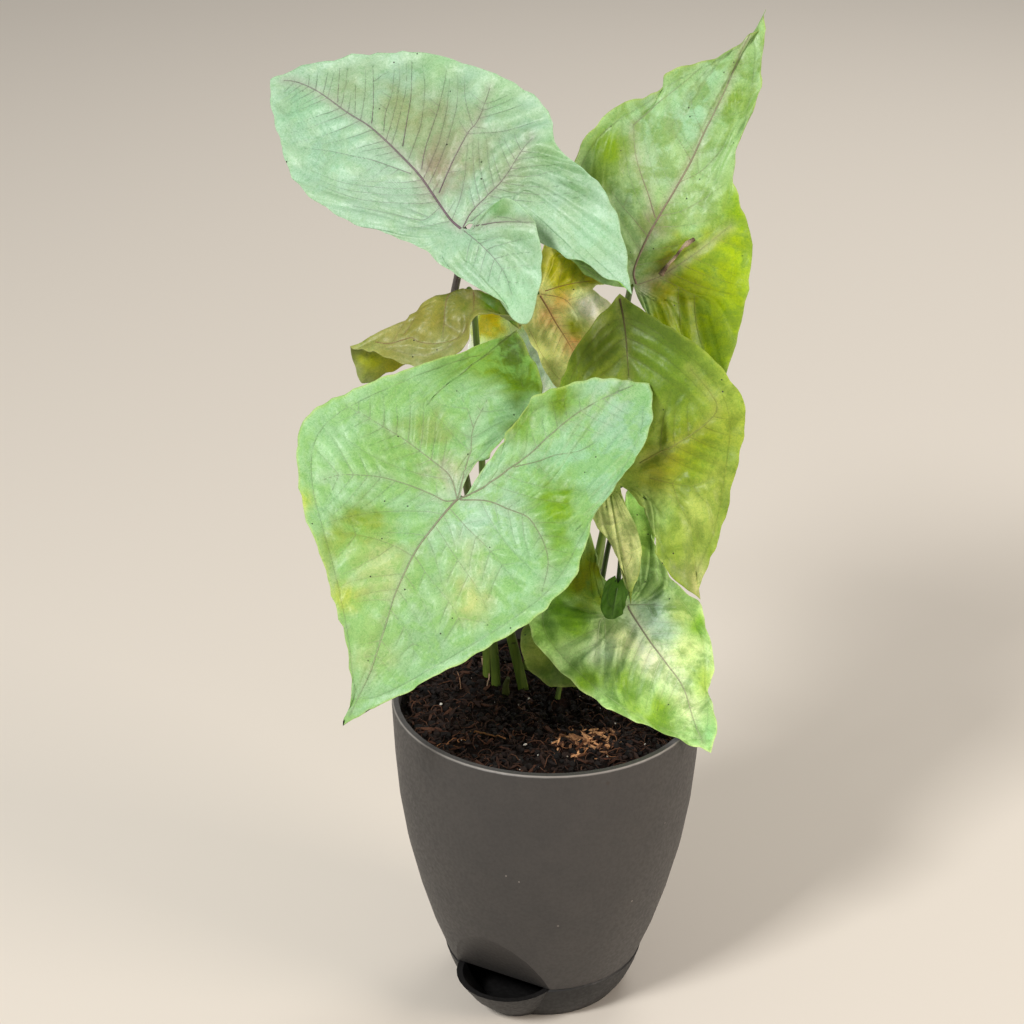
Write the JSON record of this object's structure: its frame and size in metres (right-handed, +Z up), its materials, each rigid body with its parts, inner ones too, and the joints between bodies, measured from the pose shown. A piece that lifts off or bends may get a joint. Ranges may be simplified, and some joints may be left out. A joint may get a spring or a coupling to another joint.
{
  "type": "potted arrowhead plant",
  "caption": "Potted arrowhead plant: arrow-shaped variegated leaves on slim stalks in a tapered dark pot that stands in a water base with a pouring lip.",
  "frame": {"origin": "centre of the base's flat underside, which rests on the table", "axes": "+Z up; -Y towards the side that the picture shows; the pouring lip points 27 degrees to the left of -Y"},
  "size_m": [0.1838, 0.1633, 0.3749],
  "materials": {
    "pot": "matt dark warm grey, finely mottled",
    "reservoir_base": "matt near-black",
    "wick": "undyed cotton cord",
    "soil": "dark brown coir mix with pale grains",
    "shoot": "pale green shoot",
    "leaf_front_blade": "satin, veined and mottled leaf",
    "leaf_front_stalk": "smooth green leaf stalk",
    "leaf_upper_left_blade": "satin, veined and mottled leaf",
    "leaf_upper_left_stalk": "smooth green leaf stalk",
    "leaf_upper_right_blade": "satin, veined and mottled leaf",
    "leaf_upper_right_stalk": "smooth green leaf stalk",
    "leaf_middle_right_blade": "satin, veined and mottled leaf",
    "leaf_middle_right_stalk": "smooth green leaf stalk",
    "leaf_lower_right_blade": "satin, veined and mottled leaf",
    "leaf_lower_right_stalk": "smooth green leaf stalk",
    "leaf_back_left_blade": "satin, veined and mottled leaf",
    "leaf_back_left_stalk": "smooth green leaf stalk",
    "leaf_middle_blade": "satin, veined and mottled leaf",
    "leaf_middle_stalk": "smooth green leaf stalk",
    "leaf_inner_blade": "satin, veined and mottled leaf",
    "leaf_inner_stalk": "smooth green leaf stalk",
    "leaf_low_blade": "satin, veined and mottled leaf",
    "leaf_low_stalk": "smooth green leaf stalk",
    "leaf_young_blade": "satin, veined and mottled leaf",
    "leaf_young_stalk": "smooth green leaf stalk"
  },
  "bodies": {
    "root": {"pot": "pot", "reservoir_base": "reservoir_base", "wick": "wick", "soil": "soil", "shoot": "shoot", "leaf_front_blade": "leaf_front_blade", "leaf_front_stalk": "leaf_front_stalk", "leaf_upper_left_blade": "leaf_upper_left_blade", "leaf_upper_left_stalk": "leaf_upper_left_stalk", "leaf_upper_right_blade": "leaf_upper_right_blade", "leaf_upper_right_stalk": "leaf_upper_right_stalk", "leaf_middle_right_blade": "leaf_middle_right_blade", "leaf_middle_right_stalk": "leaf_middle_right_stalk", "leaf_lower_right_blade": "leaf_lower_right_blade", "leaf_lower_right_stalk": "leaf_lower_right_stalk", "leaf_back_left_blade": "leaf_back_left_blade", "leaf_back_left_stalk": "leaf_back_left_stalk", "leaf_middle_blade": "leaf_middle_blade", "leaf_middle_stalk": "leaf_middle_stalk", "leaf_inner_blade": "leaf_inner_blade", "leaf_inner_stalk": "leaf_inner_stalk", "leaf_low_blade": "leaf_low_blade", "leaf_low_stalk": "leaf_low_stalk", "leaf_young_blade": "leaf_young_blade", "leaf_young_stalk": "leaf_young_stalk"}
  },
  "joints": []
}
